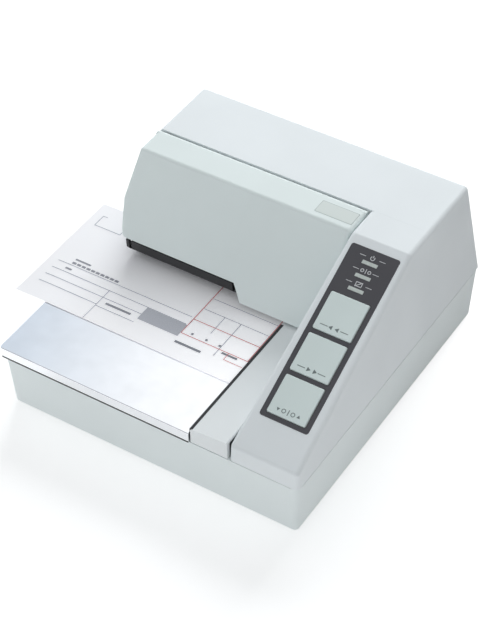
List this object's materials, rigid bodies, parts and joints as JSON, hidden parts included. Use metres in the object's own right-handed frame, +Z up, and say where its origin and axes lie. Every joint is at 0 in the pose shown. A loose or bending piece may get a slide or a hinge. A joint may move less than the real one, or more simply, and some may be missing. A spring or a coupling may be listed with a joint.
{
  "type": "slip printer",
  "caption": "Compact dot matrix slip printer: flat paper table, hinged ribbon cover over a shuttle print head, and a sloped panel of keys.",
  "frame": {"origin": "centre of the lower case's flat underside; the rubber feet reach 2 mm below it", "axes": "+X to the right as the keys are read, +Y from the paper table to the rear sockets, +Z up"},
  "size_m": [0.2002, 0.1917, 0.101],
  "materials": {
    "lower_case_plastic": "fine spark-eroded texture",
    "upper_case_plastic": "fine spark-eroded texture",
    "cover_plastic": "satin",
    "guide_plastic": "satin",
    "foot_rubber": "matt",
    "screw_steel": "zinc plated",
    "hatch_plastic": "fine texture",
    "switch_red": "moulded",
    "board_green": "solder mask",
    "chip_black": "moulded",
    "connector_steel": "tin plated",
    "socket_black": "moulded",
    "frame_steel": "galvanised sheet",
    "platen_grey": "satin",
    "motor_can": "plated",
    "gear_plastic": "natural",
    "roller_rubber": "ground",
    "shaft_steel": "ground",
    "coil_black": "wrapped coil",
    "table_steel": "polished",
    "slip_paper": "uncoated",
    "panel_dark": "silk-screened film",
    "lens_clear": "moulded",
    "key_plastic": "satin",
    "guide_black": "moulded",
    "carriage_black": "moulded",
    "head_metal": "black anodised fins",
    "belt_rubber": "ribbed",
    "arm_steel": "plated",
    "cassette_black": "moulded",
    "ribbon_fabric": "inked nylon",
    "knob_blue": "moulded"
  },
  "bodies": {
    "base": {"lower_case": "lower_case_plastic", "rubber_feet": "foot_rubber", "case_screws": "screw_steel", "switch_hatch": "hatch_plastic", "hatch_screw": "screw_steel", "switch_bank": "switch_red", "main_board": "board_green", "board_parts": "chip_black", "interface_connector": "connector_steel", "connector_jackscrews": "screw_steel", "power_inlet": "socket_black", "power_switch": "socket_black", "ground_screw": "screw_steel", "lower_frame": "frame_steel", "frame_screws": "screw_steel", "platen": "platen_grey", "feed_motor": "motor_can", "stopper_solenoid": "coil_black", "paper_table": "table_steel", "side_guide": "guide_plastic", "paper_sensors": "socket_black", "upper_case": "upper_case_plastic", "control_panel": "panel_dark", "indicator_lenses": "lens_clear", "panel_board": "board_green", "upper_frame": "frame_steel", "upper_guide": "guide_black", "hinge_pins": "shaft_steel", "guide_shaft": "shaft_steel", "guide_rod": "shaft_steel", "timing_belt": "belt_rubber", "carriage_motor": "motor_can", "release_solenoid": "coil_black", "cassette_case": "cassette_black", "ink_ribbon": "ribbon_fabric"},
    "power_rocker_body": {"power_rocker": "socket_black"},
    "feed_train": {"feed_shaft": "shaft_steel", "feed_rollers": "roller_rubber", "feed_gear": "gear_plastic"},
    "feed_pinion_body": {"feed_pinion": "gear_plastic"},
    "stopper": {"form_stopper": "arm_steel"},
    "slip": {"slip_form": "slip_paper"},
    "forward_key_body": {"forward_key": "key_plastic"},
    "reverse_key_body": {"reverse_key": "key_plastic"},
    "release_key_body": {"release_key": "key_plastic"},
    "carriage_body": {"carriage": "carriage_black", "print_head": "head_metal"},
    "drive_pulley_body": {"drive_pulley": "gear_plastic"},
    "idler_pulley_body": {"idler_pulley": "gear_plastic"},
    "release_arm_body": {"release_arm": "arm_steel"},
    "pinch_body": {"pinch_axles": "shaft_steel", "pinch_rollers": "roller_rubber"},
    "release_plunger_body": {"release_plunger": "shaft_steel"},
    "ribbon_knob_body": {"ribbon_knob": "knob_blue"},
    "cover": {"ribbon_cover": "cover_plastic"}
  },
  "joints": [
    {"name": "cover_hinge", "type": "hinge", "parent": "base", "child": "cover", "pos_m": [0, 0.0348, 0.0966], "axis": [-1, 0, 0], "range_deg": [0, 85]},
    {"name": "forward_key_press", "type": "slide", "parent": "base", "child": "forward_key_body", "axis": [0, -0.4382, 0.8989], "range_m": [-0.0007, 0], "stiffness_N_per_m": 1200},
    {"name": "reverse_key_press", "type": "slide", "parent": "base", "child": "reverse_key_body", "axis": [0, -0.4382, 0.8989], "range_m": [-0.0007, 0], "stiffness_N_per_m": 1200},
    {"name": "release_key_press", "type": "slide", "parent": "base", "child": "release_key_body", "axis": [0, -0.4382, 0.8989], "range_m": [-0.0007, 0], "stiffness_N_per_m": 1200},
    {"name": "power_rocker_tilt", "type": "hinge", "parent": "base", "child": "power_rocker_body", "pos_m": [0.07, 0.0895, 0.0165], "axis": [1, 0, 0], "range_deg": [-18, 0]},
    {"name": "carriage_slide", "type": "slide", "parent": "base", "child": "carriage_body", "axis": [1, 0, 0], "range_m": [-0.07, 0]},
    {"name": "drive_pulley_spin", "type": "hinge", "parent": "base", "child": "drive_pulley_body", "pos_m": [0.0333, 0.056, 0.054], "axis": [0, 0, 1], "range_deg": [-803, 0]},
    {"name": "idler_pulley_spin", "type": "hinge", "parent": "base", "child": "idler_pulley_body", "pos_m": [-0.061, 0.056, 0.054], "axis": [0, 0, 1], "range_deg": [-803, 0]},
    {"name": "feed_roller_spin", "type": "hinge", "parent": "base", "child": "feed_train", "pos_m": [0, 0.019, 0.034], "axis": [1, 0, 0], "range_deg": [0, 570]},
    {"name": "feed_pinion_spin", "type": "hinge", "parent": "base", "child": "feed_pinion_body", "pos_m": [0, 0.02505, 0.02795], "axis": [1, 0, 0], "range_deg": [-1369, 0]},
    {"name": "slip_feed", "type": "slide", "parent": "base", "child": "slip", "axis": [0, 1, 0], "range_m": [-0.0596, 0]},
    {"name": "release_arm_lift", "type": "hinge", "parent": "base", "child": "release_arm_body", "pos_m": [0, 0.036, 0.0483], "axis": [-1, 0, 0], "range_deg": [0, 6], "stiffness_Nm_per_rad": 0.02, "springref_deg": -5.73},
    {"name": "pinch_roller_spin", "type": "hinge", "parent": "release_arm_body", "child": "pinch_body", "pos_m": [0, 0.019, 0.0438], "axis": [1, 0, 0], "range_deg": [-978, 0]},
    {"name": "release_plunger_slide", "type": "slide", "parent": "base", "child": "release_plunger_body", "axis": [0, 0, 1], "range_m": [-0.00222, 0]},
    {"name": "form_stopper_slide", "type": "slide", "parent": "base", "child": "stopper", "axis": [0, 0, 1], "range_m": [-0.005, 0], "stiffness_N_per_m": 300, "springref_m": 0.001},
    {"name": "ribbon_knob_turn", "type": "hinge", "parent": "base", "child": "ribbon_knob_body", "pos_m": [0.0268, 0.01914, 0.08516], "axis": [0, -0.9016, 0.4325], "continuous": true}
  ],
  "couplings": [
    {"joint": "drive_pulley_spin", "follows": "carriage_slide", "rad_per_m": 200},
    {"joint": "idler_pulley_spin", "follows": "carriage_slide", "rad_per_m": 200},
    {"joint": "feed_pinion_spin", "follows": "slip_feed", "rad_per_m": 400},
    {"joint": "feed_roller_spin", "follows": "slip_feed", "rad_per_m": -166.67},
    {"joint": "pinch_roller_spin", "follows": "slip_feed", "rad_per_m": 285.71},
    {"joint": "release_arm_lift", "follows": "release_plunger_slide", "rad_per_m": -47.17}
  ]
}
